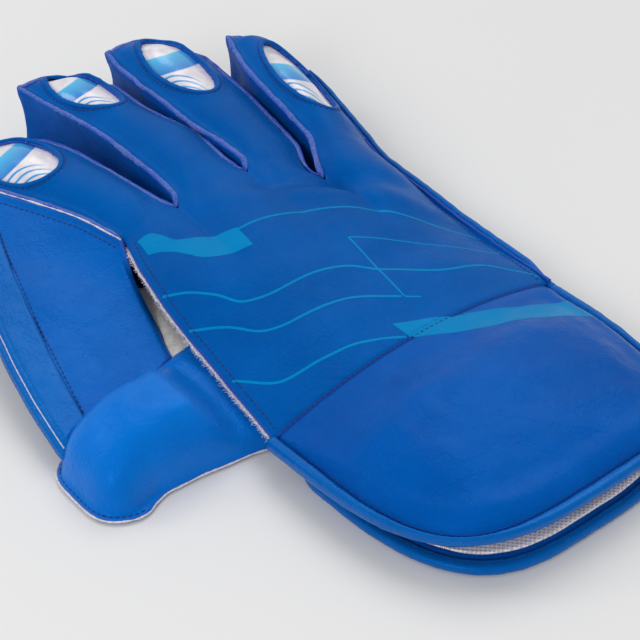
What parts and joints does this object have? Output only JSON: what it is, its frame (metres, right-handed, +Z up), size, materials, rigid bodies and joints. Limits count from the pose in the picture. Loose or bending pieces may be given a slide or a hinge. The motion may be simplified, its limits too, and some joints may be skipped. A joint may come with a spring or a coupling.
{
  "type": "wicketkeeping glove",
  "caption": "Right-hand catching glove of padded leather with windowed fingertips, a web between thumb and index finger and a domed cuff, lying palm down.",
  "frame": {"origin": "on the floor under the middle of the glove's bounding box", "axes": "+Y from the cuff to the fingertips, +X from the thumb side to the little finger's side, +Z up from the palm to the back of the hand"},
  "size_m": [0.212, 0.2946, 0.0395],
  "materials": {
    "blue_leather": "soft grain, satin",
    "light_blue_leather": "smooth, satin",
    "printed_patch": "glossy print of plain stripes",
    "pale_felt": "fuzzy felt, matte",
    "white_mesh": "perforated padded mesh, matte"
  },
  "bodies": {
    "root": {"back_panel": "blue_leather", "palm_panel": "blue_leather", "back_felt": "pale_felt", "index_patch": "printed_patch", "middle_patch": "printed_patch", "ring_patch": "printed_patch", "little_patch": "printed_patch", "gusset_index_outer": "blue_leather", "gusset_index_middle": "blue_leather", "gusset_middle_ring": "blue_leather", "gusset_ring_little": "blue_leather", "side_wall": "blue_leather", "side_binding": "light_blue_leather", "thumb_back": "blue_leather", "web_panel": "blue_leather", "web_trim": "light_blue_leather", "cuff_pad": "blue_leather", "cuff_binding_back": "light_blue_leather", "cuff_palm": "blue_leather", "cuff_binding_palm": "light_blue_leather", "cuff_lining": "white_mesh"}
  },
  "joints": []
}
